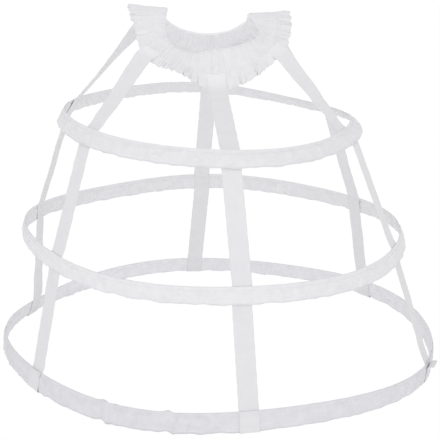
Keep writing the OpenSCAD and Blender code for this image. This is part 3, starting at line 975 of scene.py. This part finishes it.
casing_seams = []
for hoop, (angle, run, rings) in casing_rings.items():
    outer = rings[:, :fold_points]
    lifted = ways_out(outer)
    front, back = fold_bottom // 2, fold_bottom * 3 // 2
    lifted *= np.sign((lifted[0, front] * (outer[0, front] - outer[0, back])).sum())
    outer = outer + casing_stitch_lift * lifted
    column = nearest(run, seam_in)
    casing_seams.append((outer[:, column], True))
    bare = np.all([past_tape(hoop, angle, tape) >= 0 for tape in all_tapes], 0)
    for here in np.nonzero(np.diff(bare.astype(int)) == 1)[0] + 1:
        there = here
        while bare[there % len(bare)]:
            there += 1
        casing_seams.append((outer[np.arange(here, there) % len(bare), fold_points - 1 - column], False))
    for tape in all_tapes if hoop != HEM else ():
        away = from_tape(hoop, angle, tape)
        across = np.argsort(away)
        across = across[abs(away[across]) < tape_angle(hoop, tape) * 0.8]
        casing_seams += [(outer[across, nearest(run, down)], False) for down in tape_rows_down]
sewn("stitches_casings", casing_seams, "casing_cotton")

band_lift = ways_out(band_rings)
band_lift *= np.sign((band_lift[0, 20] * band_facing(band_angle[:1], np.array([20.0]))[0]).sum())
band_levels = [nearest(down_outer, down) for down in band_rows_down]
band_seams = [(band_rings[:, level] + stitch_lift * band_lift[:, level], True) for level in band_levels]
sewn("stitches_waistband", band_seams, "band_cotton")


def across_tape(tape, place, face, lift):
    fine, _, rings, facing = tape_rings[tape]
    row = nearest(fine, place)
    return rings[row, face] + lift * facing[row], False


def down_tape(tape, start, end, face, lift, column):
    fine, _, rings, facing = tape_rings[tape]
    rows = np.nonzero((fine >= start) & (fine <= end))[0]
    return rings[rows, face][:, column] + lift * facing[rows], False


tape_seams = []
for tape, (_, run, _, _) in tape_rings.items():
    sewn_to = run[-1] - (loose_end if tape == FRONT_RIGHT else 0)
    boxes = ((1.8, 19), (sewn_to - 19, sewn_to - 2.5))
    rows = [end for box in boxes for end in box]
    rows += [top + down for top in run[hoop_tops] for down in (6.5, 20)]
    for face, lift in zip(tape_faces, (stitch_lift, -stitch_lift)):
        tape_seams += [across_tape(tape, row, face, lift) for row in rows]
        tape_seams += [down_tape(tape, *box, face, lift, column) for box in boxes for column in tape_edges]
sewn("stitches_tapes", tape_seams, "tape_twill")


# Studio: a wide white floor that keeps the cage's soft shadow, two broad lamps in front, one high and one low,
# and white light from all round. The camera stands a little above the waist and looks down on the cage.
floor_half, floor_drop = 30, 0.0005
floor_mesh = bpy.data.meshes.new("floor")
floor_corners = ((-1, -1), (1, -1), (1, 1), (-1, 1))
floor_mesh.from_pydata([(x * floor_half, y * floor_half, 0) for x, y in floor_corners], [], [(0, 1, 2, 3)])
floor = bpy.data.objects.new("floor", floor_mesh)
floor.location.z = -floor_drop
bpy.context.scene.collection.objects.link(floor)


def looked_at(finish):
    """1 for what the camera sees, straight or by gloss or glass, and 0 for what lights the cage."""
    camera, gloss, glass = (finish.node("ShaderNodeLightPath", {}, {}, out="Is " + ray + " Ray")
                            for ray in ("Camera", "Glossy", "Transmission"))
    return camera.larger(gloss).larger(glass)


paper = Finish("floor_paper", Base_Color=(0.96, 0.96, 0.96, 1), Roughness=1,
               Emission_Color=(1, 1, 1, 1), Emission_Strength=0.09)
white = paper.node("ShaderNodeEmission", {}, {"Strength": 1.02})
lit = Shade(paper, paper.shader.outputs[0])
blend = paper.node("ShaderNodeMixShader", {}, {0: looked_at(paper) * 0.88, 1: lit, 2: white})
paper.put(paper.tree.nodes["Material Output"].inputs["Surface"], blend)
floor_mesh.materials.append(paper.material)


class Sky(Finish):
    """The white light all round, which has nodes as a finish has."""
    def __init__(self, name, dimmest):
        self.world = bpy.data.worlds.new(name)
        self.world.use_nodes = True
        self.tree = self.world.node_tree
        background = self.tree.nodes["Background"]
        self.put(background.inputs["Color"], (1, 1, 1, 1))
        self.put(background.inputs["Strength"], dimmest + (1 - dimmest) * looked_at(self))


bpy.context.scene.world = Sky("studio", 0.85).world


def soft_lamp(name, place, tilt, turn, width, power):
    lamp = bpy.data.objects.new(name, bpy.data.lights.new(name, "AREA"))
    lamp.data.shape = "DISK"
    lamp.data.size = width
    lamp.data.energy = power
    lamp.location = place
    lamp.rotation_euler = (np.radians(tilt), 0, np.radians(turn))
    lamp.visible_camera = False
    bpy.context.scene.collection.objects.link(lamp)


soft_lamp("key_lamp", (-0.5, -2.3, 1.5), tilt=64, turn=-12, width=2.2, power=3)
soft_lamp("low_lamp", (0.3, -3.4, 0.3), tilt=90, turn=5, width=1.6, power=11)

camera_dip = 16.652
camera = bpy.data.objects.new("camera", bpy.data.cameras.new("camera"))
camera.location = (0.00618, -1.6485, 0.6956)
camera.rotation_euler = (np.radians(90 - camera_dip), 0, 0)
camera.data.sensor_fit = "HORIZONTAL"
camera.data.sensor_width = 36
camera.data.lens = 92.21
camera.data.clip_end = 200
bpy.context.scene.collection.objects.link(camera)
bpy.context.scene.camera = camera
bpy.context.scene.view_settings.view_transform = "Standard"
